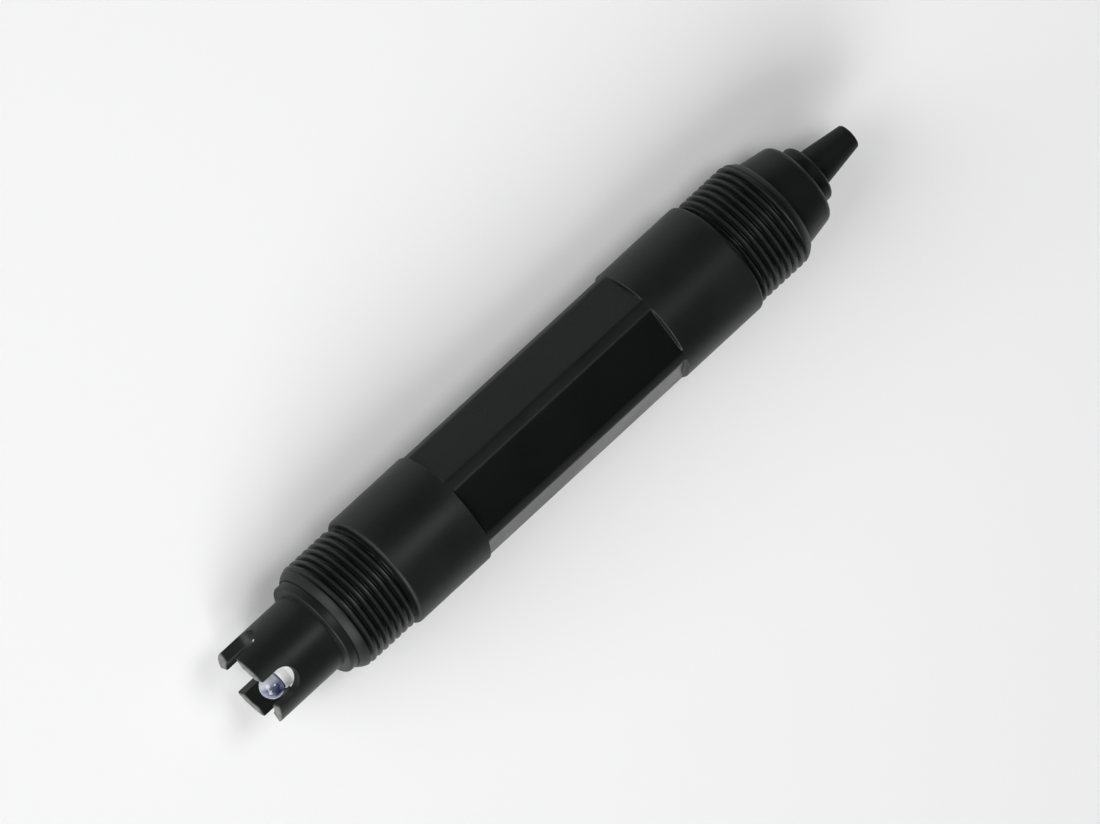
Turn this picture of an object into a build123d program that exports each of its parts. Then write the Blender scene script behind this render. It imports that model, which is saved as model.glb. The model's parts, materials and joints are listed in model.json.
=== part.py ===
# On-line pH electrode: a moulded housing with a pipe thread at each end, a pronged
# guard round an off-axis glass bulb, and a stepped rear cap with a tapered boot.
# The electrode lies along X, with the bulb at -X, the boot at +X and one flat up.
# The origin is on the axis, at the hand-tight plane of the front thread.
from build123d import *
from math import acos, degrees, sqrt
import os

os.makedirs("parts", exist_ok=True)

# Housing
thread_diameter = 26.67
thread_length = 16.0
hand_tight = 8.6
lead_length = 3.0
lead_height = 1.4
relief_width = 1.3
relief_depth = 1.2
body_diameter = 28.0
body_length = 101.5
flat_depth = 1.3
flats_length = 58.8
flats_forward = 0.85
bore_share = 0.6857
rim_edge = 0.5

# Guard
guard_diameter = 19.0
guard_wall = 2.4
guard_length = 18.3
collar_diameter = 23.2
collar_length = 2.2
collar_edge = 0.4
slot_width = 6.7
slot_depth = 7.6
slot_turn = 8.0
floor_depth = 7.9

# Glass electrode, set to one side of the axis
bulb_diameter = 5.44
bulb_wall = 0.3
bulb_depth = 4.05
bulb_offset = 3.0
stem_diameter = 4.8
stem_wall = 0.5

# Gel chamber inside the guard's sleeve
disc_thickness = 3.0
disc_step = 1.2
chamber_length = 50.0
plug_length = 6.0
stopper_length = 5.0
wire_diameter = 0.8
wire_tip = 1.0
wire_tail = 3.0
rod_diameter = 1.2
rod_side = 2.6
rod_height = 2.4
rod_set_back = 6.0
probe_diameter = 2.4
probe_side = 2.6
probe_height = -1.8
probe_set_back = 0.5
probe_edge = 0.6

# Bulkhead
bulkhead_wall = 2.0
board_slot = 4.0
wire_window = 9.6

# Circuit board and what it carries
board_thickness = 1.6
board_clearance = 0.9
board_top = -3.4
connector_length = 6.0
connector_height = 6.8
lead_span = 7.0
lead_diameter = 1.4
part_gap = 2.5
shield_height = 4.0
shield_wall = 0.4
chip_height = 1.2
module_height = 6.0
driver_height = 1.6
terminal_length = 7.0
terminal_height = 6.0
block_edge = 0.5

# Shares of the board's free length, then of its width
shield_share = 0.33
chip_share = 0.2
module_share = 0.3
driver_share = 0.14
block_share = 0.74
chip_width_share = 0.4
module_width_share = 0.34

# Rear cap and boot
cap_diameter = 22.6
cap_end_diameter = 19.66
cap_length = 8.5
cap_edge = 1.2
ring_diameter = 13.8
ring_length = 3.3
ring_edge = 0.4
cap_plug_length = 12.0
boot_base_diameter = 9.16
boot_end_diameter = 5.82
boot_length = 11.6
boot_stem_diameter = 6.6
boot_stem_length = 14.3
cable_diameter = 4.4

# Gap between pieces that fit into each other
fit_gap = 0.05
cut_margin = 1.0

# Places along the axis, from the bulb to the boot
x_seat = -hand_tight
x_collar = x_seat - collar_length
x_tip = x_collar - guard_length
x_floor = x_tip + floor_depth
x_chamber = x_floor + disc_thickness
x_chamber_end = x_chamber + chamber_length
x_plug = x_chamber_end - plug_length
x_shoulder = x_seat + thread_length
x_back = x_shoulder + body_length
x_tail = x_back + thread_length
x_cap_end = x_tail + cap_length
x_ring_end = x_cap_end + ring_length
x_boot_end = x_ring_end + boot_length
x_wire_end = x_chamber_end + wire_tail
x_connector = x_wire_end + lead_span
x_slot = x_chamber_end + bulkhead_wall
x_cap_plug = x_tail - cap_plug_length
x_board = x_slot + fit_gap
x_board_end = x_cap_plug - fit_gap
x_terminal = x_cap_plug - part_gap

# Lengths of the parts on the board
free_length = x_terminal - terminal_length - x_connector - connector_length - 4 * part_gap
shield_length = shield_share * free_length
chip_length = chip_share * free_length
module_length = module_share * free_length
driver_length = driver_share * free_length

# Radii that several pieces share
body_radius = body_diameter / 2
thread_radius = thread_diameter / 2
lead_radius = thread_radius - lead_height
relief_radius = thread_radius - relief_depth
bore_radius = bore_share * body_radius
guard_radius = guard_diameter / 2
guard_bore_radius = guard_radius - guard_wall
sleeve_radius = bore_radius - fit_gap
chamber_radius = guard_bore_radius - disc_step
bulb_radius = bulb_diameter / 2
stem_radius = stem_diameter / 2
stem_bore_radius = stem_radius - stem_wall
bulb_center = x_tip + bulb_depth
boot_stem_radius = boot_stem_diameter / 2
board_underside = board_top - board_thickness
board_width = 2 * (sqrt(bore_radius**2 - board_underside**2) - board_clearance)
block_width = block_share * board_width
chip_width = chip_width_share * board_width
module_width = module_width_share * board_width

# Housing: one turned profile with both threads at their full diameter, then six flats
with BuildPart() as housing:
    with BuildSketch(Plane.XY):
        with BuildLine():
            Polyline(
                (x_seat, bore_radius),
                (x_seat, lead_radius),
                (x_seat + lead_length, thread_radius),
                (x_shoulder - relief_width, thread_radius),
                (x_shoulder - relief_width, relief_radius),
                (x_shoulder, relief_radius),
                (x_shoulder, body_radius),
                (x_back, body_radius),
                (x_back, relief_radius),
                (x_back + relief_width, relief_radius),
                (x_back + relief_width, thread_radius),
                (x_tail - lead_length, thread_radius),
                (x_tail, lead_radius),
                (x_tail, bore_radius),
                close=True,
            )
        make_face()
    revolve(axis=Axis.X)
    body_rims = housing.edges().filter_by(GeomType.CIRCLE)
    body_rims = body_rims.filter_by(lambda edge: abs(edge.radius - body_radius) < fit_gap)
    chamfer(body_rims, length=rim_edge)
    with BuildSketch(Plane.YZ.offset((x_shoulder + x_back - flats_length) / 2 - flats_forward)):
        Circle(body_radius + cut_margin)
        RegularPolygon(body_radius - flat_depth, 6, major_radius=False, mode=Mode.SUBTRACT)
    extrude(amount=flats_length, mode=Mode.SUBTRACT)
housing.part.label = "housing"
export_step(housing.part, "parts/housing.step")

# Guard: a sleeve with prongs in front, a collar that stops on the housing and, inside
# the housing, the chamber for the gel
with BuildPart() as guard:
    with BuildSketch(Plane.XY):
        with BuildLine():
            Polyline(
                (x_tip, guard_bore_radius),
                (x_tip, guard_radius),
                (x_collar, guard_radius),
                (x_collar, collar_diameter / 2),
                (x_seat, collar_diameter / 2),
                (x_seat, sleeve_radius),
                (x_chamber_end, sleeve_radius),
                (x_chamber_end, chamber_radius),
                (x_chamber, chamber_radius),
                (x_chamber, guard_bore_radius),
                close=True,
            )
        make_face()
    revolve(axis=Axis.X)
    collar_rim = guard.edges().filter_by(GeomType.CIRCLE).group_by(SortBy.RADIUS)[-1]
    chamfer(collar_rim.sort_by(Axis.X)[0], length=collar_edge)
    # Four slots with round ends leave four prongs, a few degrees round from the flats
    for slot_plane in (Plane.XY, Plane.XZ):
        with BuildSketch(slot_plane.rotated((slot_turn, 0, 0))):
            with Locations((x_tip + slot_depth - slot_width / 2, 0)):
                Circle(slot_width / 2)
                Rectangle(slot_depth, slot_width, align=(Align.MAX, Align.CENTER))
        extrude(amount=guard_radius + cut_margin, both=True, mode=Mode.SUBTRACT)
guard.part.label = "guard"
export_step(guard.part, "parts/guard.step")

# Junction disc: closes the guard behind the bulb
with BuildPart() as junction_disc:
    with BuildSketch(Plane.YZ.offset(x_floor)):
        Circle(guard_bore_radius - fit_gap)
        with Locations((-bulb_offset, 0)):
            Circle(stem_radius + fit_gap, mode=Mode.SUBTRACT)
    extrude(amount=disc_thickness)
junction_disc.part.label = "junction_disc"
export_step(junction_disc.part, "parts/junction_disc.step")

# Glass electrode: a bulb on a stem, with one bore that ends in the bulb's thin tip
neck_angle = degrees(acos(sqrt(bulb_radius**2 - stem_radius**2) / bulb_radius))
bulb_front = bulb_center - bulb_radius
with BuildPart() as glass_electrode:
    with BuildSketch(Plane((0, -bulb_offset, 0))):
        with BuildLine():
            outer = CenterArc((bulb_center, 0), bulb_radius, 180, neck_angle - 180)
            Polyline(
                outer @ 1,
                (x_chamber_end, stem_radius),
                (x_chamber_end, stem_bore_radius),
                (bulb_center, stem_bore_radius),
                (bulb_front + bulb_wall, 0),
                outer @ 0,
            )
        make_face()
    revolve(axis=Axis((0, -bulb_offset, 0), (1, 0, 0)))
glass_electrode.part.label = "glass_electrode"
export_step(glass_electrode.part, "parts/glass_electrode.step")

# Stem stopper: rubber plug in the stem's rear mouth
with BuildPart() as stem_stopper:
    with BuildSketch(Plane.YZ.offset(x_chamber_end)):
        with Locations((-bulb_offset, 0)):
            Circle(stem_bore_radius - fit_gap)
            Circle(wire_diameter / 2 + fit_gap, mode=Mode.SUBTRACT)
    extrude(amount=-stopper_length)
stem_stopper.part.label = "stem_stopper"
export_step(stem_stopper.part, "parts/stem_stopper.step")

# Inner electrode: silver wire down the stem, ending short of the bulb
with BuildPart() as inner_electrode:
    with BuildSketch(Plane.YZ.offset(x_floor + wire_tip)):
        with Locations((-bulb_offset, 0)):
            Circle(wire_diameter / 2)
    extrude(amount=x_wire_end - x_floor - wire_tip)
inner_electrode.part.label = "inner_electrode"
export_step(inner_electrode.part, "parts/inner_electrode.step")

# Reference electrode: silver rod in the gel
with BuildPart() as reference_electrode:
    with BuildSketch(Plane.YZ.offset(x_chamber + rod_set_back)):
        with Locations((rod_side, rod_height)):
            Circle(rod_diameter / 2)
    extrude(amount=x_wire_end - x_chamber - rod_set_back)
reference_electrode.part.label = "reference_electrode"
export_step(reference_electrode.part, "parts/reference_electrode.step")

# Temperature probe: closed metal tube with a bevelled nose close behind the disc
with BuildPart() as temperature_probe:
    with BuildSketch(Plane.YZ.offset(x_chamber + probe_set_back)):
        with Locations((probe_side, probe_height)):
            Circle(probe_diameter / 2)
    extrude(amount=x_wire_end - x_chamber - probe_set_back)
    nose_rim = temperature_probe.faces().sort_by(Axis.X)[0].edges()
    chamfer(nose_rim, length=probe_edge)
temperature_probe.part.label = "temperature_probe"
export_step(temperature_probe.part, "parts/temperature_probe.step")

# Reference gel: fills the chamber round the stem, the rod and the probe
with BuildPart() as reference_gel:
    with BuildSketch(Plane.YZ.offset(x_chamber)):
        Circle(chamber_radius - fit_gap)
        with Locations((-bulb_offset, 0)):
            Circle(stem_radius + fit_gap, mode=Mode.SUBTRACT)
        with Locations((rod_side, rod_height)):
            Circle(rod_diameter / 2 + fit_gap, mode=Mode.SUBTRACT)
        with Locations((probe_side, probe_height)):
            Circle(probe_diameter / 2 + fit_gap, mode=Mode.SUBTRACT)
    extrude(amount=chamber_length - plug_length)
reference_gel.part.label = "reference_gel"
export_step(reference_gel.part, "parts/reference_gel.step")

# Chamber plug: closes the chamber and holds the stem, the rod and the probe
with BuildPart() as chamber_plug:
    with BuildSketch(Plane.YZ.offset(x_plug)):
        Circle(chamber_radius - fit_gap)
        with Locations((-bulb_offset, 0)):
            Circle(stem_radius + fit_gap, mode=Mode.SUBTRACT)
        with Locations((rod_side, rod_height)):
            Circle(rod_diameter / 2 + fit_gap, mode=Mode.SUBTRACT)
        with Locations((probe_side, probe_height)):
            Circle(probe_diameter / 2 + fit_gap, mode=Mode.SUBTRACT)
    extrude(amount=plug_length)
chamber_plug.part.label = "chamber_plug"
export_step(chamber_plug.part, "parts/chamber_plug.step")

# Bulkhead: stands behind the sleeve, with a window for the leads and a slot for the board
with BuildPart() as bulkhead:
    with BuildSketch(Plane.YZ.offset(x_chamber_end)):
        Circle(sleeve_radius)
        Circle(wire_window / 2, mode=Mode.SUBTRACT)
    extrude(amount=bulkhead_wall + board_slot)
    with BuildSketch(Plane.YZ.offset(x_slot)):
        with Locations((0, board_top - board_thickness / 2)):
            Rectangle(board_width + 2 * fit_gap, board_thickness + 2 * fit_gap)
    extrude(amount=board_slot, mode=Mode.SUBTRACT)
bulkhead.part.label = "bulkhead"
export_step(bulkhead.part, "parts/bulkhead.step")

# Circuit board: set into the bulkhead, with the cap's plug behind it
with BuildPart() as circuit_board:
    with BuildSketch(Plane.XY.offset(board_underside)):
        with Locations(((x_board + x_board_end) / 2, 0)):
            Rectangle(x_board_end - x_board, board_width)
    extrude(amount=board_thickness)
circuit_board.part.label = "circuit_board"
export_step(circuit_board.part, "parts/circuit_board.step")

# Input connector: block that takes the three leads
with BuildPart() as input_connector:
    with BuildSketch(Plane.XY.offset(board_top)):
        with Locations((x_connector, 0)):
            Rectangle(connector_length, block_width, align=(Align.MIN, Align.CENTER))
    extrude(amount=connector_height)
    top_edges = input_connector.faces().sort_by(Axis.Z)[-1].edges()
    chamfer(top_edges.filter_by(Axis.Y), length=block_edge)
input_connector.part.label = "input_connector"
export_step(input_connector.part, "parts/input_connector.step")

# Leads: insulated wires from the two electrodes and the probe to the connector
with BuildPart() as signal_lead:
    with BuildSketch(Plane.YZ.offset(x_wire_end)):
        with Locations((-bulb_offset, 0)):
            Circle(lead_diameter / 2)
    extrude(amount=lead_span)
signal_lead.part.label = "signal_lead"
export_step(signal_lead.part, "parts/signal_lead.step")

with BuildPart() as reference_lead:
    with BuildSketch(Plane.YZ.offset(x_wire_end)):
        with Locations((rod_side, rod_height)):
            Circle(lead_diameter / 2)
    extrude(amount=lead_span)
reference_lead.part.label = "reference_lead"
export_step(reference_lead.part, "parts/reference_lead.step")

with BuildPart() as probe_lead:
    with BuildSketch(Plane.YZ.offset(x_wire_end)):
        with Locations((probe_side, probe_height)):
            Circle(lead_diameter / 2)
    extrude(amount=lead_span)
probe_lead.part.label = "probe_lead"
export_step(probe_lead.part, "parts/probe_lead.step")

# Amplifier shield: thin metal can, open to the board
x_shield = x_connector + connector_length + part_gap
with BuildPart() as amplifier_shield:
    with BuildSketch(Plane.XY.offset(board_top)):
        with Locations((x_shield, 0)):
            Rectangle(shield_length, block_width, align=(Align.MIN, Align.CENTER))
    extrude(amount=shield_height)
    open_face = amplifier_shield.faces().sort_by(Axis.Z)[0]
    offset(amount=-shield_wall, openings=open_face)
amplifier_shield.part.label = "amplifier_shield"
export_step(amplifier_shield.part, "parts/amplifier_shield.step")

# Controller chip and power module, side by side
x_chip = x_shield + shield_length + part_gap
chip_side = (chip_width + part_gap / 2) / 2
with BuildPart() as controller_chip:
    with BuildSketch(Plane.XY.offset(board_top)):
        with Locations((x_chip, -chip_side)):
            Rectangle(chip_length, chip_width, align=(Align.MIN, Align.CENTER))
    extrude(amount=chip_height)
controller_chip.part.label = "controller_chip"
export_step(controller_chip.part, "parts/controller_chip.step")

module_side = (module_width + part_gap / 2) / 2
with BuildPart() as power_module:
    with BuildSketch(Plane.XY.offset(board_top)):
        with Locations((x_chip, module_side)):
            Rectangle(module_length, module_width, align=(Align.MIN, Align.CENTER))
    extrude(amount=module_height)
    module_edges = power_module.edges().filter_by(Axis.Z)
    chamfer(module_edges, length=block_edge)
power_module.part.label = "power_module"
export_step(power_module.part, "parts/power_module.step")

# Line driver: bus chip behind the controller
x_driver = x_chip + chip_length + part_gap
with BuildPart() as line_driver:
    with BuildSketch(Plane.XY.offset(board_top)):
        with Locations((x_driver, -chip_side)):
            Rectangle(driver_length, chip_width, align=(Align.MIN, Align.CENTER))
    extrude(amount=driver_height)
line_driver.part.label = "line_driver"
export_step(line_driver.part, "parts/line_driver.step")

# Cable terminal: block for the cable's cores, ahead of the cap's plug
with BuildPart() as cable_terminal:
    with BuildSketch(Plane.XY.offset(board_top)):
        with Locations((x_terminal, 0)):
            Rectangle(terminal_length, block_width, align=(Align.MAX, Align.CENTER))
    extrude(amount=terminal_height)
    terminal_edges = cable_terminal.faces().sort_by(Axis.Z)[-1].edges()
    chamfer(terminal_edges.filter_by(Axis.Y), length=block_edge)
cable_terminal.part.label = "cable_terminal"
export_step(cable_terminal.part, "parts/cable_terminal.step")

# End cap: a cone and a ring outside, a plug inside the housing and one hole for the boot
with BuildPart() as end_cap:
    with BuildSketch(Plane.XY):
        with BuildLine():
            Polyline(
                (x_cap_plug, boot_stem_radius + fit_gap),
                (x_cap_plug, sleeve_radius),
                (x_tail, sleeve_radius),
                (x_tail, cap_diameter / 2),
                (x_cap_end, cap_end_diameter / 2),
                (x_cap_end, ring_diameter / 2),
                (x_ring_end, ring_diameter / 2),
                (x_ring_end, boot_stem_radius + fit_gap),
                close=True,
            )
        make_face()
    revolve(axis=Axis.X)
    cap_circles = end_cap.edges().filter_by(GeomType.CIRCLE)
    cap_rim = cap_circles.filter_by_position(Axis.X, x_cap_end - fit_gap, x_cap_end + fit_gap)
    chamfer(cap_rim.sort_by(SortBy.RADIUS)[-1], length=cap_edge)
    ring_circles = end_cap.edges().filter_by(GeomType.CIRCLE)
    ring_rim = ring_circles.filter_by_position(Axis.X, x_ring_end - fit_gap, x_ring_end + fit_gap)
    chamfer(ring_rim.sort_by(SortBy.RADIUS)[-1], length=ring_edge)
end_cap.part.label = "end_cap"
export_step(end_cap.part, "parts/end_cap.step")

# Cable boot: a tapered sleeve on a stem that sits in the cap's hole
x_stem = x_ring_end - boot_stem_length
with BuildPart() as cable_boot:
    with BuildSketch(Plane.XY):
        with BuildLine():
            Polyline(
                (x_stem, cable_diameter / 2),
                (x_stem, boot_stem_radius),
                (x_ring_end, boot_stem_radius),
                (x_ring_end, boot_base_diameter / 2),
                (x_boot_end, boot_end_diameter / 2),
                (x_boot_end, cable_diameter / 2),
                close=True,
            )
        make_face()
    revolve(axis=Axis.X)
cable_boot.part.label = "cable_boot"
export_step(cable_boot.part, "parts/cable_boot.step")
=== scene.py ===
# %% [markdown]
# An on-line pH electrode lies on a white table. Its black moulded housing has a pipe
# thread at each end and six flats for a wrench. In front a guard with four prongs keeps
# a glass bulb from harm, and behind a stepped cap carries a tapered cable boot.
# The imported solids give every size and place. This lesson dresses them: it rounds the
# moulded edges, cuts the threads and gives each piece the finish of its real material.

# %% Load the solids
import json
import math
import bmesh
import bpy
from mathutils import Matrix, Vector


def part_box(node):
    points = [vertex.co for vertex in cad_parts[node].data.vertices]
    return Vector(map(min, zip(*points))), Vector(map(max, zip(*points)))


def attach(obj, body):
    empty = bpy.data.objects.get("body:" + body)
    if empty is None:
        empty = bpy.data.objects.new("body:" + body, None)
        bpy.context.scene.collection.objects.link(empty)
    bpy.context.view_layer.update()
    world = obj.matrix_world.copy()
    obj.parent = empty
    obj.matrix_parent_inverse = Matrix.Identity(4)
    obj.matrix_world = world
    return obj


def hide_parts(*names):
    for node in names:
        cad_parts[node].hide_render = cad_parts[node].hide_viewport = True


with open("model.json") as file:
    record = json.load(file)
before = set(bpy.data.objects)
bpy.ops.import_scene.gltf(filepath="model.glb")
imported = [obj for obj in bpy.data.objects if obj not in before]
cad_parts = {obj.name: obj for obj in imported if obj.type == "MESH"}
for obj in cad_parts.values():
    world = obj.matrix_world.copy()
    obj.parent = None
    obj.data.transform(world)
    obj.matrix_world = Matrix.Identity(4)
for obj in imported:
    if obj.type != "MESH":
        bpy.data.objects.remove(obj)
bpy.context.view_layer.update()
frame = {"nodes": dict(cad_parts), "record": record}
nodes = frame["nodes"]
for plain_colour in list(bpy.data.materials):
    bpy.data.materials.remove(plain_colour)
mm = 0.001

# %% [markdown]
# Every piece of this electrode is turned round the same axis, so a handful of places
# along X and a few radii describe it. They are read from the boxes of the solids, which
# keeps the dressed pieces where the solids are when a size changes.

# %% Places along the axis and main radii
seat_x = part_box("housing")[0].x
tail_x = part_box("housing")[1].x
body_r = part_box("housing")[1].y
tip_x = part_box("guard")[0].x
chamber_end_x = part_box("guard")[1].x
collar_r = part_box("guard")[1].y
floor_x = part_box("junction_disc")[0].x
chamber_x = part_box("junction_disc")[1].x
plug_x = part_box("end_cap")[0].x
ring_end_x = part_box("end_cap")[1].x
boot_stem_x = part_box("cable_boot")[0].x
boot_end_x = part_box("cable_boot")[1].x
print("tips at", round(tip_x / mm, 2), "boot ends at", round(boot_end_x / mm, 2))

# %% [markdown]
# The finishes come first. Materials share a few effects: the fine skin that a mould
# leaves, and the rub that makes edges paler. Each effect is a node group that is built
# once and set differently in each material. A picture could carry them too, but noise in
# object coordinates needs no unwrapping and stays sharp from any distance.

# %% Helpers for node trees
def add_node(tree, kind, **settings):
    node = tree.nodes.new(kind)
    for key, value in settings.items():
        setattr(node, key, value)
    return node


def feed(tree, socket, value):
    if isinstance(value, bpy.types.NodeSocket):
        tree.links.new(value, socket)
    else:
        socket.default_value = value


def calc(tree, operation, first, second=0.0, clamp=False):
    node = add_node(tree, "ShaderNodeMath", operation=operation, use_clamp=clamp)
    feed(tree, node.inputs[0], first)
    feed(tree, node.inputs[1], second)
    return node.outputs[0]


def remap(tree, value, low, high, to_low=0.0, to_high=1.0, curve="SMOOTHSTEP"):
    node = add_node(tree, "ShaderNodeMapRange", interpolation_type=curve)
    for name, amount in (("Value", value), ("From Min", low), ("From Max", high),
                         ("To Min", to_low), ("To Max", to_high)):
        feed(tree, node.inputs[name], amount)
    return node.outputs["Result"]


def new_group(name, kind, inputs, outputs):
    tree = bpy.data.node_groups.new(name, kind)
    for label, socket_type, value in inputs:
        socket = tree.interface.new_socket(label, in_out="INPUT", socket_type=socket_type)
        socket.default_value = value
    for label, socket_type in outputs:
        tree.interface.new_socket(label, in_out="OUTPUT", socket_type=socket_type)
    return tree, add_node(tree, "NodeGroupInput"), add_node(tree, "NodeGroupOutput")


FLOAT = "NodeSocketFloat"

# %% [markdown]
# A mould is never quite smooth: the plastic copies its fine spark-eroded skin, and it
# cools with slow changes of sheen. The group gives the skin as a height for a Bump node
# and the slow change as a value from 0 to 1.

# %% Group: moulded skin
GRAIN_DETAIL = 3.0
CLOUD_DETAIL = 4.0
CLOUD_LOW = 0.3
CLOUD_HIGH = 0.7
skin, skin_in, skin_out = new_group(
    "moulded_skin", "ShaderNodeTree",
    [("Grain scale", FLOAT, 3000.0), ("Cloud scale", FLOAT, 60.0)],
    [("Height", FLOAT), ("Cloud", FLOAT)])
place = add_node(skin, "ShaderNodeTexCoord").outputs["Object"]
grain = add_node(skin, "ShaderNodeTexNoise")
cloud = add_node(skin, "ShaderNodeTexNoise")
for texture, scale, detail in ((grain, "Grain scale", GRAIN_DETAIL),
                               (cloud, "Cloud scale", CLOUD_DETAIL)):
    skin.links.new(place, texture.inputs["Vector"])
    skin.links.new(skin_in.outputs[scale], texture.inputs["Scale"])
    texture.inputs["Detail"].default_value = detail
skin.links.new(grain.outputs["Fac"], skin_out.inputs["Height"])
drift_value = remap(skin, cloud.outputs["Fac"], CLOUD_LOW, CLOUD_HIGH)
skin.links.new(drift_value, skin_out.inputs["Cloud"])
print("made group", skin.name)

# %% [markdown]
# Edges of black plastic turn grey where they are handled. The meshes below carry a value
# that is high on their edges. On the guard's prong tips it is full, and there the pale
# colour is a painted reflection of the bright table on the end faces. The group thins it
# out in patches of noise, so that the pale line comes and goes as it does on a used part.

# %% Group: edge rub
PATCH_DETAIL = 5.0
PATCH_LOW = 0.35
PATCH_HIGH = 0.65
LEAST_RUB = 0.55
rub, rub_in, rub_out = new_group(
    "edge_rub_and_tip_glare", "ShaderNodeTree",
    [("Patch scale", FLOAT, 900.0), ("Amount", FLOAT, 0.6)],
    [("Mask", FLOAT)])
wear_value = add_node(rub, "ShaderNodeAttribute", attribute_name="wear_and_glare").outputs["Fac"]
patches = add_node(rub, "ShaderNodeTexNoise")
rub.links.new(add_node(rub, "ShaderNodeTexCoord").outputs["Object"], patches.inputs["Vector"])
rub.links.new(rub_in.outputs["Patch scale"], patches.inputs["Scale"])
patches.inputs["Detail"].default_value = PATCH_DETAIL
broken = remap(rub, patches.outputs["Fac"], PATCH_LOW, PATCH_HIGH, LEAST_RUB, 1.0)
strength = calc(rub, "MULTIPLY", wear_value, rub_in.outputs["Amount"])
rub.links.new(calc(rub, "MULTIPLY", broken, strength, clamp=True), rub_out.inputs["Mask"])
print("made group", rub.name)


# %% [markdown]
# One recipe serves all the opaque finishes: a colour that drifts between two tones, rub
# on the edges, a roughness that follows the drift, and the skin as a small bump. The
# flats and the crests of the threads come smoother from the mould than the rest, and
# there the plastic is darker and glossier. The valleys of the threads get the same darker
# tone as painted shade. The meshes mark all these places with one value. On the prong
# tips the rub is a painted reflection. What is the same all over a piece is set on the shader itself.

# %% Recipe for an opaque finish
def group_node(tree, group, **values):
    node = add_node(tree, "ShaderNodeGroup", node_tree=group)
    for label, value in values.items():
        node.inputs[label.replace("_", " ")].default_value = value
    return node


def blend_colours(tree, factor, first, second):
    mix = add_node(tree, "ShaderNodeMix", data_type="RGBA")
    feed(tree, mix.inputs["Factor"], factor)
    colour_inputs = [socket for socket in mix.inputs if socket.type == "RGBA"]
    feed(tree, colour_inputs[0], first)
    feed(tree, colour_inputs[1], second)
    return next(socket for socket in mix.outputs if socket.type == "RGBA")


SHADED_GLOSS_TONE = 0.5
POLISH_GAIN = 0.14
ROUGHNESS_DRIFT = 0.04
SKIN_DEPTH = 0.05 * mm


def finish(name, dark, light, rub_and_glare, roughness, grain_scale, bump, cloud_scale=60.0,
           rub_amount=0.6, metallic=0.0, specular=0.5):
    material = bpy.data.materials.new(name)
    material.use_nodes = True
    tree = material.node_tree
    shader = tree.nodes["Principled BSDF"]
    surface = group_node(tree, skin, Grain_scale=grain_scale, Cloud_scale=cloud_scale)
    edges = group_node(tree, rub, Amount=rub_amount)
    gloss_and_shade = add_node(tree, "ShaderNodeAttribute", attribute_name="gloss_and_shade").outputs["Fac"]
    tone = blend_colours(tree, surface.outputs["Cloud"], (*dark, 1), (*light, 1))
    # marked places turn darker; in the thread valleys this darker tone is painted shade
    tone = blend_colours(tree, gloss_and_shade, tone, (*[SHADED_GLOSS_TONE * c for c in dark], 1))
    # the rub colour also paints the table's reflection on the prong tips
    tone = blend_colours(tree, edges.outputs["Mask"], tone, (*rub_and_glare, 1))
    feed(tree, shader.inputs["Base Color"], tone)
    drift = remap(tree, surface.outputs["Cloud"], 0.0, 1.0,
                  roughness - ROUGHNESS_DRIFT, roughness + ROUGHNESS_DRIFT, "LINEAR")
    gain = calc(tree, "MULTIPLY", gloss_and_shade, POLISH_GAIN)
    feed(tree, shader.inputs["Roughness"], calc(tree, "SUBTRACT", drift, gain))
    shader.inputs["Metallic"].default_value = metallic
    shader.inputs["Specular IOR Level"].default_value = specular
    bumps = add_node(tree, "ShaderNodeBump")
    bumps.inputs["Strength"].default_value = bump
    bumps.inputs["Distance"].default_value = SKIN_DEPTH
    feed(tree, bumps.inputs["Height"], surface.outputs["Height"])
    feed(tree, shader.inputs["Normal"], bumps.outputs["Normal"])
    return material


BLACK_SPECULAR = 0.19
black_plastic = finish("black_plastic", (0.0078, 0.0098, 0.009), (0.0108, 0.0132, 0.0122),
                       (0.16, 0.16, 0.155), roughness=0.42, grain_scale=2600.0, bump=0.2,
                       rub_amount=1.0, specular=BLACK_SPECULAR)
boot_rubber = finish("boot_rubber", (0.0055, 0.0072, 0.0066), (0.0075, 0.0095, 0.0088),
                     (0.04, 0.04, 0.04), roughness=0.5, grain_scale=3400.0, bump=0.3,
                     specular=BLACK_SPECULAR)
white_ptfe = finish("white_ptfe", (0.82, 0.82, 0.8), (0.9, 0.9, 0.89), (0.9, 0.9, 0.9),
                    roughness=0.6, grain_scale=5000.0, bump=0.5, cloud_scale=900.0)
print("made finishes:", black_plastic.name, boot_rubber.name, white_ptfe.name)

# %% [markdown]
# The bulb is blown from a special glass and filled with a clear liquid, so it works as a
# small lens with a violet tint. The tint is deep at the waist, where the bulb was fused
# to its stem. One side of the ball is painted paler than the other: painted light on the
# lit side, painted shade in deep blue on the other. Glass keeps plain values for metallic
# and transmission, and a thin coat keeps its gloss crisp. The stem is drawn from a milky
# glass that the white disc lights up.

# %% Membrane glass
LIT_PALE_VIOLET = (0.86, 0.88, 1.0, 1)
SHADED_DEEP_BLUE = (0.04, 0.065, 0.18, 1)
WAIST_VIOLET = (0.06, 0.04, 0.3, 1)
CLOUD_SHARE = 0.3
glass_low, glass_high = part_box("glass_electrode")
bulb_y = (glass_low.y + glass_high.y) / 2
BULB_R = 2.72 * mm
bulb_x = glass_low.x + BULB_R
membrane_glass = bpy.data.materials.new("membrane_glass")
membrane_glass.use_nodes = True
glass_tree = membrane_glass.node_tree
glass_shader = glass_tree.nodes["Principled BSDF"]
glass_skin = group_node(glass_tree, skin, Grain_scale=700.0, Cloud_scale=500.0)
glass_place = add_node(glass_tree, "ShaderNodeSeparateXYZ")
glass_coordinates = add_node(glass_tree, "ShaderNodeTexCoord")
glass_tree.links.new(glass_coordinates.outputs["Object"], glass_place.inputs[0])
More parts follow.
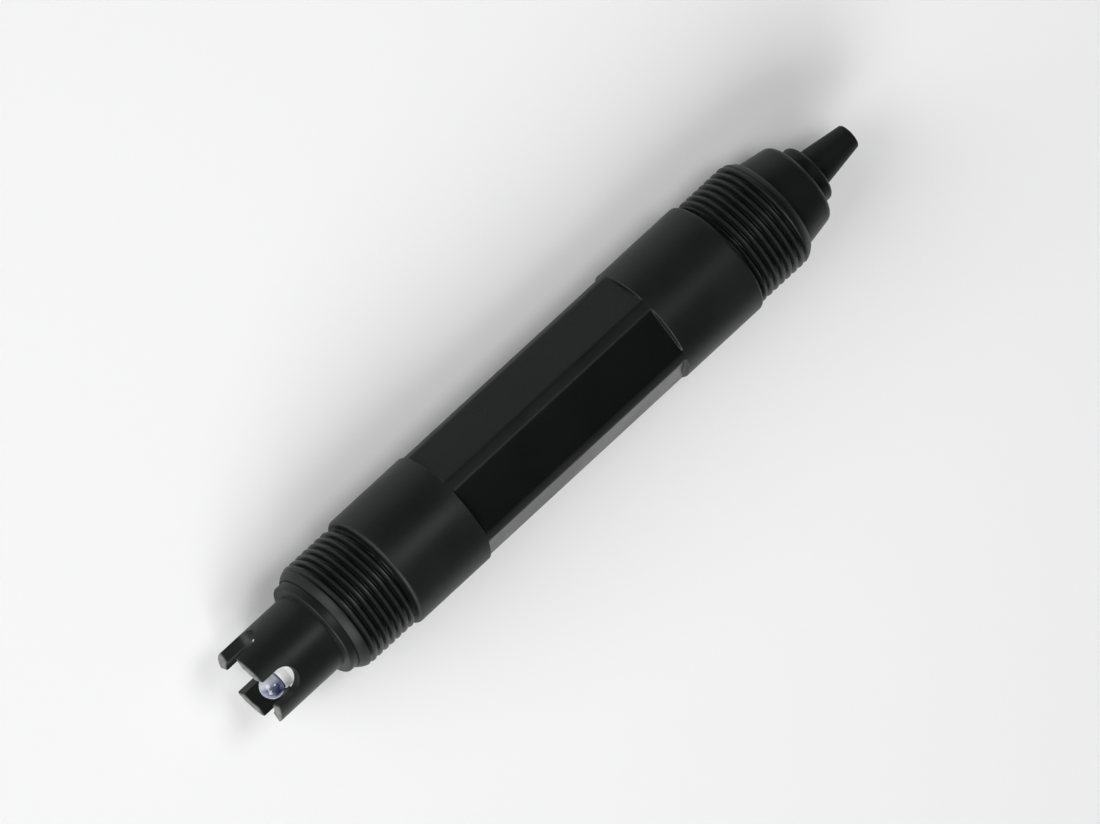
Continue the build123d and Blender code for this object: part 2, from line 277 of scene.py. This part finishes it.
# The ball is painted pale on its lit side and deep blue on its shaded side: painted light and shade.
lit_from, lit_to = bulb_y + 0.1 * BULB_R, bulb_y + 0.65 * BULB_R
painted_lit_side = remap(glass_tree, glass_place.outputs["Y"], lit_from, lit_to)
ball = blend_colours(glass_tree, painted_lit_side, SHADED_DEEP_BLUE, LIT_PALE_VIOLET)
streaks = calc(glass_tree, "MULTIPLY", glass_skin.outputs["Cloud"], CLOUD_SHARE)
ball = blend_colours(glass_tree, streaks, ball, LIT_PALE_VIOLET)
waist_from, waist_to = bulb_x + 0.45 * BULB_R, bulb_x + 0.65 * BULB_R
at_waist = remap(glass_tree, glass_place.outputs["X"], waist_from, waist_to)
ball = blend_colours(glass_tree, at_waist, ball, WAIST_VIOLET)
feed(glass_tree, glass_shader.inputs["Base Color"], ball)
feed(glass_tree, glass_shader.inputs["Roughness"],
     remap(glass_tree, glass_skin.outputs["Height"], 0.0, 1.0, 0.08, 0.16, "LINEAR"))
glass_shader.inputs["Transmission Weight"].default_value = 0.55
glass_shader.inputs["IOR"].default_value = 1.38
glass_shader.inputs["Coat Weight"].default_value = 1.0
glass_shader.inputs["Coat Roughness"].default_value = 0.02
print("made finish:", membrane_glass.name)

# %% Stem glass
stem_glass = finish("stem_glass", (0.93, 0.93, 0.9), (0.97, 0.97, 0.96), (0.97, 0.97, 0.97),
                    roughness=0.14, grain_scale=700.0, bump=0.02, cloud_scale=700.0)
stem_shader = stem_glass.node_tree.nodes["Principled BSDF"]
stem_shader.inputs["Transmission Weight"].default_value = 0.05
print("made finish:", stem_glass.name)

# %% [markdown]
# Inside the housing sit parts that nobody sees until the model is opened: the gel, the
# electrodes, the board. Their colours are in the record, slot by slot. A loop gives each
# slot a finish of its class, with the same drift and skin as the outside.

# %% Finishes of the inner parts
CLASS_LOOKS = {
    "matte_plastic": (0.5, 2600.0, 0.25, 0.0),
    "gloss_plastic": (0.2, 1500.0, 0.08, 0.0),
    "rubber": (0.65, 3400.0, 0.4, 0.0),
    "brushed_steel": (0.3, 1800.0, 0.15, 1.0),
}
finishes = {"black_plastic": black_plastic, "boot_rubber": boot_rubber,
            "white_ptfe": white_ptfe, "membrane_glass": membrane_glass}
for row in frame["record"]["materials"]:
    if row["slot"] not in finishes:
        rough, scale, bump, metal = CLASS_LOOKS[row["class"]]
        colour = row["base_color"][:3]
        darker = [0.85 * c for c in colour]
        paler = [0.9 * c + 0.1 for c in colour]
        finishes[row["slot"]] = finish(row["slot"], darker, colour, paler, rough, scale, bump,
                                       cloud_scale=200.0, metallic=metal)
for row in frame["record"]["subparts"]:
    mesh = nodes[row["node"]].data
    mesh.materials.clear()
    mesh.materials.append(finishes[row["material_slot"]])
print("finishes in all:", len(finishes))


# %% [markdown]
# The threads are cut next. A pipe thread is one ridge that winds round the axis, so its
# shape follows a rule and Geometry Nodes can make it: a flat grid is rolled up along a
# helix, one pitch wide, and each row gets its radius from the ridge's section. A smooth
# lead-in stands at the free end, where the grooves fade in, and a relief groove at the
# shoulder. A Screw modifier could wind a section too, but its ends would stay open.

# %% Geometry Nodes tree for a pipe thread
thread, thread_in, thread_out = new_group(
    "pipe_thread", "GeometryNodeTree",
    [("Crest radius", FLOAT, 13.335 * mm), ("Thread length", FLOAT, 16.0 * mm),
     ("Pitch", FLOAT, 1.8143 * mm), ("Groove depth", FLOAT, 1.1 * mm),
     ("Lead length", FLOAT, 3.0 * mm), ("Lead height", FLOAT, 1.4 * mm),
     ("Groove start", FLOAT, 0.8 * mm), ("Groove full", FLOAT, 3.6 * mm),
     ("Relief width", FLOAT, 1.3 * mm), ("Relief depth", FLOAT, 1.2 * mm),
     ("Turns", "NodeSocketInt", 10), ("Steps per turn", "NodeSocketInt", 144),
     ("Rows", "NodeSocketInt", 16), ("Material", "NodeSocketMaterial", None)],
    [("Geometry", "NodeSocketGeometry")])
size = thread_in.outputs
sheet = add_node(thread, "GeometryNodeMeshGrid")
steps_in_all = calc(thread, "MULTIPLY", size["Turns"], size["Steps per turn"])
thread.links.new(calc(thread, "ADD", steps_in_all, 1.0), sheet.inputs["Vertices X"])
thread.links.new(size["Rows"], sheet.inputs["Vertices Y"])
split = add_node(thread, "ShaderNodeSeparateXYZ")
thread.links.new(add_node(thread, "GeometryNodeInputPosition").outputs[0], split.inputs[0])
along = calc(thread, "MULTIPLY", calc(thread, "ADD", split.outputs["X"], 0.5), size["Turns"])
across = calc(thread, "ADD", split.outputs["Y"], 0.5)
pitches = calc(thread, "ADD", calc(thread, "SUBTRACT", along, 1.0), across)
unclamped = calc(thread, "MULTIPLY", pitches, size["Pitch"])
axial = calc(thread, "MINIMUM", calc(thread, "MAXIMUM", unclamped, 0.0), size["Thread length"])

# %% Radius of each row of the thread
CREST_SHARE = 0.16
ROOT_SHARE = 0.84
CREST_WEAR = 0.08
from_crest = calc(thread, "SUBTRACT", calc(thread, "MULTIPLY", across, 2.0), 1.0)
off_crest = calc(thread, "ABSOLUTE", from_crest)
groove = remap(thread, off_crest, CREST_SHARE, ROOT_SHARE)
fade = remap(thread, axial, size["Groove start"], size["Groove full"])
cut = calc(thread, "MULTIPLY", calc(thread, "MULTIPLY", groove, fade), size["Groove depth"])
ridge_r = calc(thread, "SUBTRACT", size["Crest radius"], cut)
lead_share = calc(thread, "DIVIDE", axial, size["Lead length"], clamp=True)
rest_of_lead = calc(thread, "SUBTRACT", 1.0, lead_share)
lead_bow = calc(thread, "MULTIPLY", rest_of_lead, rest_of_lead)
lead_drop = calc(thread, "MULTIPLY", lead_bow, size["Lead height"])
lead_r = calc(thread, "SUBTRACT", size["Crest radius"], lead_drop)
to_shoulder = calc(thread, "SUBTRACT", size["Thread length"], axial)
half_relief = calc(thread, "MULTIPLY", size["Relief width"], 0.5)
relief_cut = remap(thread, to_shoulder, half_relief, size["Relief width"], 1.0, 0.0)
relief_drop = calc(thread, "MULTIPLY", relief_cut, size["Relief depth"])
relief_r = calc(thread, "SUBTRACT", size["Crest radius"], relief_drop)
radius = calc(thread, "MINIMUM", calc(thread, "MINIMUM", ridge_r, lead_r), relief_r)

# %% Roll the sheet up and finish the tree
WELD = 0.004 * mm
turn = calc(thread, "MULTIPLY", along, 2 * math.pi)
rolled = add_node(thread, "ShaderNodeCombineXYZ")
thread.links.new(axial, rolled.inputs["X"])
thread.links.new(calc(thread, "MULTIPLY", radius, calc(thread, "COSINE", turn)), rolled.inputs["Y"])
thread.links.new(calc(thread, "MULTIPLY", radius, calc(thread, "SINE", turn)), rolled.inputs["Z"])
crest = calc(thread, "POWER", calc(thread, "SUBTRACT", 1.0, groove), 3.0)
crest_wear = calc(thread, "MULTIPLY", calc(thread, "MULTIPLY", crest, fade), CREST_WEAR)
# the grooves get the darker gloss tone as painted shade
valley_shade = calc(thread, "MULTIPLY", groove, fade)
marked = sheet.outputs["Mesh"]
gloss_and_valley_shade = calc(thread, "MAXIMUM", valley_shade, calc(thread, "MULTIPLY", crest, fade))
for label, value in (("wear_and_glare", crest_wear), ("gloss_and_shade", gloss_and_valley_shade)):
    store = add_node(thread, "GeometryNodeStoreNamedAttribute", data_type="FLOAT", domain="POINT")
    store.inputs["Name"].default_value = label
    thread.links.new(marked, store.inputs["Geometry"])
    thread.links.new(value, store.inputs["Value"])
    marked = store.outputs["Geometry"]
bent = add_node(thread, "GeometryNodeSetPosition")
thread.links.new(marked, bent.inputs["Geometry"])
thread.links.new(rolled.outputs[0], bent.inputs["Position"])
welded = add_node(thread, "GeometryNodeMergeByDistance")
welded.inputs["Distance"].default_value = WELD
real = add_node(thread, "GeometryNodeRealizeInstances")
painted = add_node(thread, "GeometryNodeSetMaterial")
thread.links.new(bent.outputs["Geometry"], welded.inputs["Geometry"])
thread.links.new(welded.outputs["Geometry"], real.inputs["Geometry"])
thread.links.new(real.outputs["Geometry"], painted.inputs["Geometry"])
thread.links.new(size["Material"], painted.inputs["Material"])
thread.links.new(painted.outputs["Geometry"], thread_out.inputs["Geometry"])
print("thread tree has", len(thread.nodes), "nodes")


# %% Cut one thread
def cut_thread(**values):
    holder = bpy.data.objects.new("thread_holder", bpy.data.meshes.new("thread_holder"))
    bpy.context.scene.collection.objects.link(holder)
    modifier = holder.modifiers.new("thread", "NODES")
    modifier.node_group = thread
    for item in thread.interface.items_tree:
        if item.in_out == "INPUT" and item.name in values:
            modifier[item.identifier] = values[item.name]
    graph = bpy.context.evaluated_depsgraph_get()
    mesh = bpy.data.meshes.new_from_object(holder.evaluated_get(graph))
    bpy.data.objects.remove(holder)
    return mesh


thread_mesh = cut_thread(Material=black_plastic)
print("one thread:", len(thread_mesh.vertices), "points")

# %% [markdown]
# The housing's middle is a round bar with six flats milled into it. It is built as rings
# of points along the axis. Each ring's radius depends on the angle: full on the round
# strips, less over a flat, where the rule is the flat's distance divided by the cosine.
# Near the ends of the flats the depth runs in over half a millimetre, which gives the
# short end walls a soft top and bottom edge. A support ring close to each bend keeps the
# flats and the round parts evenly shaded.

# %% Radius of the body at an angle
FLATS = 6
FLAT_DEPTH = 1.3 * mm
EDGE_SOFTNESS = 0.12 * mm
flat_distance = body_r - FLAT_DEPTH


def flat_cut(angle):
    sector = 2 * math.pi / FLATS
    off_centre = (angle - math.pi / 2 + sector / 2) % sector - sector / 2
    below = body_r - flat_distance / math.cos(off_centre)
    return (below + math.sqrt(below * below + EDGE_SOFTNESS * EDGE_SOFTNESS)) / 2


STEPS = 144
flat_edge = math.degrees(math.acos(flat_distance / body_r))
angles = {round(360 * step / STEPS, 3) for step in range(STEPS)}
for flat in range(FLATS):
    for edge in (-flat_edge, flat_edge):
        for off_edge in (-1.4, -0.5, 0.5, 1.4):
            angles.add(round((90 + 60 * flat + edge + off_edge) % 360, 3))
angles = [math.radians(angle) for angle in sorted(angles)]
print("points per ring:", len(angles), "flats reach", round(flat_edge, 2), "degrees each way")

# %% Rings of the body
THREAD_LENGTH = 16.0 * mm
FLATS_LENGTH = 58.8 * mm
FLATS_FORWARD = 0.85 * mm
RIM = 0.8 * mm
RIM_STEPS = 6
RUN_IN = 0.5 * mm
RUN_IN_STEPS = 16
SUPPORT = 0.08 * mm
RIM_WEAR = 0.065
SCUFF_WEAR = 0.23
shoulder_x = seat_x + THREAD_LENGTH
back_x = tail_x - THREAD_LENGTH
flats_start = (shoulder_x + back_x - FLATS_LENGTH) / 2 - FLATS_FORWARD
flats_end = flats_start + FLATS_LENGTH


def half_body_rings(plain_length):
    rings = []
    for step in range(RIM_STEPS + 1):
        bend = math.pi / 2 * step / RIM_STEPS
        drop = RIM * (1 - math.sin(bend))
        rings.append((RIM * (1 - math.cos(bend)), drop, 0.0, RIM_WEAR * math.sin(2 * bend)))
    plain_places = [RIM + SUPPORT] + [share * plain_length for share in (0.25, 0.5, 0.75)]
    for x in plain_places + [plain_length - SUPPORT]:
        rings.append((x, 0.0, 0.0, 0.0))
    for step in range(RUN_IN_STEPS + 1):
        share = step / RUN_IN_STEPS
        depth = share * share * (3 - 2 * share)
        wear_and_glare = SCUFF_WEAR if 0.1 < share < 0.3 else 0.0
        rings.append((plain_length + share * RUN_IN, 0.0, depth, wear_and_glare))
    rings.append((plain_length + RUN_IN + SUPPORT, 0.0, 1.0, 0.0))
    for share in (0.06, 0.2, 0.4, 0.6, 0.8, 1.0):
        rings.append((plain_length + RUN_IN + share * (FLATS_LENGTH / 2 - RUN_IN), 0.0, 1.0, 0.0))
    return rings


front_half = half_body_rings(flats_start - shoulder_x)
body_rings = [(shoulder_x + dx, drop, depth, wear_and_glare) for dx, drop, depth, wear_and_glare in front_half]
rear_half = half_body_rings(back_x - flats_end)
body_rings += [(back_x - dx, drop, depth, wear_and_glare) for dx, drop, depth, wear_and_glare in reversed(rear_half[:-1])]
print("body rings:", len(body_rings))


# %% Build the housing as one closed mesh
def new_ring(bm, layer, x, radii, ring_angles, wears):
    ring = []
    for angle, radius_here, wear_and_glare in zip(ring_angles, radii, wears):
        point = bm.verts.new((x, radius_here * math.cos(angle), radius_here * math.sin(angle)))
        point[layer] = wear_and_glare
        ring.append(point)
    return ring


def join_rings(bm, first, second):
    count = len(first)
    for i in range(count):
        j = (i + 1) % count
        bm.faces.new((first[i], first[j], second[j], second[i]))


def open_loop(bm, x):
    return [edge for edge in bm.edges
            if edge.is_boundary and all(abs(v.co.x - x) < 0.01 * mm for v in edge.verts)]


BORE_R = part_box("bulkhead")[1].y + 0.05 * mm
bm = bmesh.new()
bm.from_mesh(thread_mesh)
bm.transform(Matrix.Translation((seat_x, 0, 0)))
turned = thread_mesh.copy()
turned.transform(Matrix.Translation((tail_x, 0, 0)) @ Matrix.Rotation(math.pi, 4, "Y"))
bm.from_mesh(turned)
wear_layer = bm.verts.layers.float["wear_and_glare"]
gloss_shade_layer = bm.verts.layers.float["gloss_and_shade"]
previous = None
for x, drop, depth, wear_and_glare in body_rings:
    cuts = [flat_cut(angle) for angle in angles]
    radii = [body_r - drop - depth * c for c in cuts]
    wears = [wear_and_glare * (1.0 if drop else min(1.0, c / (0.3 * mm))) for c in cuts]
    ring = new_ring(bm, wear_layer, x, radii, angles, wears)
    for point, c in zip(ring, cuts):
        point[gloss_shade_layer] = depth * min(1.0, c / (0.1 * mm))
    if previous:
        join_rings(bm, previous, ring)
    previous = ring
bore_angles = [2 * math.pi * step / STEPS for step in range(STEPS)]
bore_rings = [new_ring(bm, wear_layer, x, [BORE_R] * STEPS, bore_angles, [0.0] * STEPS)
              for x in (seat_x, tail_x)]
join_rings(bm, *bore_rings)
for x in (shoulder_x, back_x, seat_x, tail_x):
    bmesh.ops.bridge_loops(bm, edges=open_loop(bm, x))
bmesh.ops.remove_doubles(bm, verts=bm.verts, dist=0.002 * mm)
bmesh.ops.recalc_face_normals(bm, faces=bm.faces)
print("housing open edges:", sum(1 for edge in bm.edges if not edge.is_manifold))


# %% Turn the mesh into a piece
SHARP = math.radians(40)


def new_piece(name, bm, material, node):
    for face in bm.faces:
        face.smooth = True
    for edge in bm.edges:
        edge.smooth = len(edge.link_faces) != 2 or edge.calc_face_angle() < SHARP
    mesh = bpy.data.meshes.new(name)
    bm.to_mesh(mesh)
    bm.free()
    mesh.materials.clear()
    mesh.materials.append(material)
    piece = bpy.data.objects.new(name, mesh)
    bpy.context.scene.collection.objects.link(piece)
    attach(piece, "root")
    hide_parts(node)
    print(name, "faces:", len(mesh.polygons))


new_piece("threaded_housing", bm, black_plastic, "housing")

# %% [markdown]
# The guard is a tube with four prongs. It could be cut from a tube with booleans, but
# those leave long thin faces that shade badly. Here each quarter of the tube is a grid
# between two slots: its columns spread from one slot's edge to the next, and the rows
# follow the slot's outline, straight beside the prongs and round at the slot's end.

# %% Outline of the slots and the prongs
GUARD_R = 9.5 * mm
GUARD_BORE_R = 7.1 * mm
SLOT_HALF = 3.35 * mm
SLOT_DEPTH = 7.6 * mm
TIP_ROUND = 0.35 * mm
# The prong tips get the full rub: their pale end faces are a painted reflection of the table.
TIP_PAINTED_GLARE = 1.0
CORNER_ROUND = 0.55 * mm
SLOT_TURN = math.radians(8)
QUARTER_COLUMNS = 24
slot_centre = SLOT_DEPTH - SLOT_HALF


def arc_share(distance, size):
    left = max(0.0, 1.0 - distance / size)
    return 1.0 - math.sqrt(max(0.0, 1.0 - left * left))


def slot_half_width(depth):
    if depth > slot_centre:
        return math.sqrt(max(0.0, SLOT_HALF ** 2 - (depth - slot_centre) ** 2))
    return SLOT_HALF + CORNER_ROUND * arc_share(depth, CORNER_ROUND)


prong_depths = [TIP_ROUND * (1 - math.cos(math.radians(a))) for a in (0, 20, 40, 60, 75, 90)]
prong_depths += [CORNER_ROUND, 0.8 * mm, 1.6 * mm, 2.6 * mm, 3.7 * mm, slot_centre]
prong_depths += [slot_centre + SLOT_HALF * math.sin(math.radians(a)) for a in range(8, 89, 8)]
prong_depths += [SLOT_DEPTH]
print("rows along a prong:", len(prong_depths))

# %% Stations round the guard's section
COLLAR_ROUND = 0.5 * mm
COLLAR_X = seat_x - 2.2 * mm
CHAMBER_R = 5.9 * mm
SLEEVE_R = BORE_R - 0.05 * mm
outer_stations = []
inner_stations = []
for depth in prong_depths:
    shrink = TIP_ROUND * arc_share(depth, TIP_ROUND)
    half = slot_half_width(depth)
    outer_stations.append((tip_x + depth, GUARD_R - shrink, half))
    inner_stations.append((tip_x + depth, GUARD_BORE_R + shrink, half))
rest_stations = [(tip_x + 9.0 * mm, GUARD_R), (tip_x + 13.0 * mm, GUARD_R), (COLLAR_X - 0.4 * mm, GUARD_R),
                 (COLLAR_X - 0.1 * mm, GUARD_R + 0.06 * mm), (COLLAR_X, GUARD_R + 0.25 * mm)]
for bend in (0, 22.5, 45, 67.5, 90):
    turn_to = math.radians(bend)
    rest_stations.append((COLLAR_X + COLLAR_ROUND * (1 - math.cos(turn_to)),
                          collar_r - COLLAR_ROUND * (1 - math.sin(turn_to))))
rest_stations += [(seat_x, collar_r), (seat_x, SLEEVE_R),
                  (chamber_end_x, SLEEVE_R), (chamber_end_x, CHAMBER_R), (chamber_x, CHAMBER_R),
                  (chamber_x, GUARD_BORE_R)]
print("stations:", len(outer_stations) + len(inner_stations) + len(rest_stations))


# %% Build the guard
def quarter_row(bm, layer, x, r, half, quarter, wear_and_glare):
    spread = math.asin(half / r)
    start = SLOT_TURN + quarter * math.pi / 2 + spread
    reach = math.pi / 2 - 2 * spread
    row = []
    for column in range(QUARTER_COLUMNS + 1):
        angle = start + reach * column / QUARTER_COLUMNS
        point = bm.verts.new((x, r * math.cos(angle), r * math.sin(angle)))
        point[layer] = wear_and_glare
        row.append(point)
    return row


bm = bmesh.new()
wear_layer = bm.verts.layers.float.new("wear_and_glare")
loop_stations = list(reversed(inner_stations)) + outer_stations
loop_stations += [(x, r, 0.0) for x, r in rest_stations]
for quarter in range(4):
    rows = []
    for x, r, half in loop_stations:
        # full value at the tips: painted reflection on their end faces
        near_tip = TIP_PAINTED_GLARE * max(0.0, 1.0 - (x - tip_x) / TIP_ROUND)
        rows.append(quarter_row(bm, wear_layer, x, r, half, quarter, near_tip))
    for first, second in zip(rows, rows[1:] + rows[:1]):
        for i in range(QUARTER_COLUMNS):
            bm.faces.new((first[i], first[i + 1], second[i + 1], second[i]))
    count = len(prong_depths)
    for i in range(count - 1):
        inner_a, inner_b = rows[count - 1 - i], rows[count - 2 - i]
        outer_a, outer_b = rows[count + i], rows[count + i + 1]
        for end in (0, QUARTER_COLUMNS):
            bm.faces.new((inner_a[end], inner_b[end], outer_b[end], outer_a[end]))
bmesh.ops.remove_doubles(bm, verts=bm.verts, dist=0.003 * mm)
bmesh.ops.dissolve_degenerate(bm, edges=bm.edges, dist=0.001 * mm)
bmesh.ops.recalc_face_normals(bm, faces=bm.faces)
print("guard open edges:", sum(1 for edge in bm.edges if not edge.is_manifold))
new_piece("pronged_guard", bm, black_plastic, "guard")


# %% [markdown]
# The cap, the boot and the glass are turned shapes: a section that goes once round the
# axis. The section is a list of corners, each with the radius that the mould or the
# flame gives it. A helper replaces each corner by an arc and another spins the section.

# %% Round the corners of a section
def rounded(corners, arc_steps=6):
    points = []
    count = len(corners)
    for i, (x, r, bend) in enumerate(corners):
        here = Vector((x, r))
        if bend == 0.0:
            points.append((here, 0.0))
            continue
        back = (Vector(corners[i - 1][:2]) - here).normalized()
        ahead = (Vector(corners[(i + 1) % count][:2]) - here).normalized()
        half = back.angle(ahead) / 2
        centre = here + (back + ahead).normalized() * (bend / math.sin(half))
        start = here + back * (bend / math.tan(half)) - centre
        end = here + ahead * (bend / math.tan(half)) - centre
        for step in range(arc_steps + 1):
            share = step / arc_steps
            spoke = start.slerp(end, share).normalized() * bend
            points.append((centre + spoke, RIM_WEAR * math.sin(math.pi * share)))
    return points


def turned_mesh(points, centre_y=0.0, steps=STEPS):
    bm = bmesh.new()
    layer = bm.verts.layers.float.new("wear_and_glare")
    turn_angles = [2 * math.pi * step / steps for step in range(steps)]
    rings = [new_ring(bm, layer, point.x, [point.y] * steps, turn_angles, [wear_and_glare] * steps)
             for point, wear_and_glare in points]
    for first, second in zip(rings, rings[1:] + rings[:1]):
        join_rings(bm, first, second)
    bmesh.ops.remove_doubles(bm, verts=bm.verts, dist=0.002 * mm)
    bmesh.ops.dissolve_degenerate(bm, edges=bm.edges, dist=0.001 * mm)
    bmesh.ops.recalc_face_normals(bm, faces=bm.faces)
    bm.transform(Matrix.Translation((0, centre_y, 0)))
    return bm


# %% End cap
CAP_END_X = tail_x + 8.5 * mm
HOLE_R = 3.35 * mm
CAP_R = 11.3 * mm
CAP_END_R = 9.83 * mm
RING_R = 6.9 * mm
cap_corners = [
    (plug_x, HOLE_R, 0.0), (plug_x, SLEEVE_R, 0.0), (tail_x, SLEEVE_R, 0.0), (tail_x, CAP_R, 0.3 * mm),
    (CAP_END_X, CAP_END_R, 1.8 * mm), (CAP_END_X, RING_R, 0.35 * mm), (ring_end_x, RING_R, 1.0 * mm),
    (ring_end_x, HOLE_R, 0.0)]
cap_mesh = turned_mesh(rounded(cap_corners))
new_piece("stepped_cap", cap_mesh, black_plastic, "end_cap")

# %% Cable boot
CABLE_R = 2.2 * mm
STEM_R = 3.3 * mm
BOOT_R = 4.58 * mm
BOOT_END_R = 2.91 * mm
boot_corners = [
    (boot_stem_x, CABLE_R, 0.0), (boot_stem_x, STEM_R, 0.0), (ring_end_x, STEM_R, 0.0),
    (ring_end_x, BOOT_R, 0.25 * mm), (boot_end_x, BOOT_END_R, 0.5 * mm), (boot_end_x, CABLE_R, 0.1 * mm)]
boot_mesh = turned_mesh(rounded(boot_corners))
new_piece("cable_sleeve", boot_mesh, boot_rubber, "cable_boot")

# %% [markdown]
# The bulb is nearly a full ball on a waist, as it leaves the flame, and the waist shows
# as a dark ring. The liquid bends light almost as the glass does, so bulb and liquid are
# one clear body. Behind the waist the stem goes through the white disc. It is a piece of
# its own, because its glass is another one, and its bore starts behind the disc's face.

# %% Glass bulb and stem
STEM_GLASS_R = 2.4 * mm
STEM_BORE_R = 1.9 * mm
WAIST_R = 2.15 * mm
BULB_STEPS = 28
GLASS_STEPS = 96
SWELL_LENGTH = 0.4 * mm
WAIST_LENGTH = 0.25 * mm
FUSED_GAP = 0.01 * mm
neck_turn = math.pi - math.asin(WAIST_R / BULB_R)
bulb_points = []
for step in range(BULB_STEPS + 1):
    bend = neck_turn * step / BULB_STEPS
    bulb_points.append((Vector((bulb_x - BULB_R * math.cos(bend), BULB_R * math.sin(bend))), 0.0))
neck_x = bulb_points[-1][0].x
waist_x = neck_x + WAIST_LENGTH
bulb_points += [(Vector((waist_x, WAIST_R)), 0.0), (Vector((waist_x, 0.0)), 0.0)]
bulb_mesh = turned_mesh(bulb_points, bulb_y, GLASS_STEPS)
new_piece("glass_bulb", bulb_mesh, membrane_glass, "glass_electrode")
stem_points = [(Vector((waist_x + FUSED_GAP, 0.0)), 0.0)]
for share in (0.0, 0.15, 0.35, 0.6, 0.85, 1.0):
    swell = share * share * (3 - 2 * share)
    stem_r = WAIST_R + swell * (STEM_GLASS_R - WAIST_R)
    stem_points.append((Vector((waist_x + FUSED_GAP + share * SWELL_LENGTH, stem_r)), 0.0))
for x, r in ((glass_high.x, STEM_GLASS_R), (glass_high.x, STEM_BORE_R),
             (floor_x + 0.9 * mm, STEM_BORE_R), (floor_x + 0.6 * mm, 0.0)):
    stem_points.append((Vector((x, r)), 0.0))
stem_mesh = turned_mesh(stem_points, bulb_y, GLASS_STEPS)
new_piece("glass_stem", stem_mesh, stem_glass, "glass_electrode")

# %% [markdown]
# The table is a wide white plane, and the sky round it is pale at the horizon and dim
# overhead, like a tent with an open top. The dim sky keeps the black plastic black.

# %% Table
TABLE_R = 6.0
TABLE_WHITE = (0.93, 0.93, 0.93, 1)
bm = bmesh.new()
bmesh.ops.create_circle(bm, cap_ends=True, segments=96, radius=TABLE_R)
table_mesh = bpy.data.meshes.new("white_table")
bm.to_mesh(table_mesh)
bm.free()
table_mesh.transform(Matrix.Translation((0, 0, -body_r)))
table = bpy.data.objects.new("white_table", table_mesh)
bpy.context.scene.collection.objects.link(table)
table_white = bpy.data.materials.new("table_white")
table_white.use_nodes = True
table_shader = table_white.node_tree.nodes["Principled BSDF"]
table_shader.inputs["Base Color"].default_value = TABLE_WHITE
table_shader.inputs["Roughness"].default_value = 0.9
table_shader.inputs["Specular IOR Level"].default_value = 0.0
table_mesh.materials.append(table_white)

# %% Sky
world = bpy.data.worlds.new("studio_tent")
bpy.context.scene.world = world
world.use_nodes = True
sky = world.node_tree
height = add_node(sky, "ShaderNodeSeparateXYZ")
sky.links.new(add_node(sky, "ShaderNodeTexCoord").outputs["Generated"], height.inputs[0])
HORIZON = 0.4
OVERHEAD = 0.05
DIM_FROM = 0.05
DIM_TO = 0.3
brightness = remap(sky, height.outputs["Z"], DIM_FROM, DIM_TO, HORIZON, OVERHEAD)
feed(sky, sky.nodes["Background"].inputs["Strength"], brightness)
sky.nodes["Background"].inputs["Color"].default_value = (1, 1, 1, 1)

# %% [markdown]
# The camera looks from far away through a long lens, as for a catalogue picture, so the
# electrode hardly tapers. Its axis is tilted to the picture, with the bulb nearer, and
# lies across the frame from lower left to upper right.

# %% Camera at the photograph's angle
TILT = math.radians(16.4)
FLAT_TURN = math.radians(19.0)
IMAGE_TURN = math.radians(42.66)
FRAME_WIDTH = 229.6 * mm
DISTANCE = 5.0
AIM_X = 59.24 * mm
AIM_SIDE = 0.12 * mm
to_camera = Vector((-math.sin(TILT), math.cos(TILT) * math.sin(FLAT_TURN),
                    math.cos(TILT) * math.cos(FLAT_TURN)))
side = Vector((0, -math.cos(FLAT_TURN), math.sin(FLAT_TURN)))
rearward = (Vector((1, 0, 0)) - to_camera * to_camera.x).normalized()
right = rearward * math.cos(IMAGE_TURN) + side * math.sin(IMAGE_TURN)
up = rearward * math.sin(IMAGE_TURN) - side * math.cos(IMAGE_TURN)
aim = Vector((AIM_X, 0, 0)) + side * AIM_SIDE
camera_data = bpy.data.cameras.new("camera")
camera_data.sensor_width = 36.0
camera_data.lens = camera_data.sensor_width * DISTANCE / FRAME_WIDTH
camera = bpy.data.objects.new("camera", camera_data)
axes = Matrix((right, up, to_camera)).transposed()
camera.matrix_world = Matrix.Translation(aim + to_camera * DISTANCE) @ axes.to_4x4()
bpy.context.scene.collection.objects.link(camera)
bpy.context.scene.camera = camera
print("lens:", round(camera_data.lens, 1))


# %% [markdown]
# Two wide lamps stand in front, left and right of the bulb, and light table and object
# evenly. A small near one above draws the long highlight on the housing.

# %% Lamps
def soft_lamp(name, direction, distance, width, depth, power):
    lamp = bpy.data.lights.new(name, "AREA")
    lamp.shape = "RECTANGLE"
    lamp.size = width
    lamp.size_y = depth
    lamp.energy = power
    holder = bpy.data.objects.new(name, lamp)
    away = Vector(direction).normalized()
    along_x = (Vector((1, 0, 0)) - away * away.x).normalized()
    axes = Matrix((along_x, away.cross(along_x), away)).transposed()
    holder.matrix_world = Matrix.Translation(aim + away * distance) @ axes.to_4x4()
    holder.visible_camera = False
    bpy.context.scene.collection.objects.link(holder)


def turned_up(angle, lean):
    return (math.sin(lean), math.cos(lean) * math.sin(angle), math.cos(lean) * math.cos(angle))


soft_lamp("strip_lamp", turned_up(math.radians(9), math.radians(5)), 0.5, 0.17, 0.17, 0.6)
soft_lamp("left_lamp", (-0.75, 0.45, 0.5), 3.0, 2.1, 2.1, 63.0)
soft_lamp("right_lamp", (-0.75, -0.45, 0.5), 3.0, 2.1, 2.1, 82.0)

# %% [markdown]
# Colours are shown as they are written, with no film look.

# %% Show colours as written
bpy.context.scene.view_settings.view_transform = "Standard"
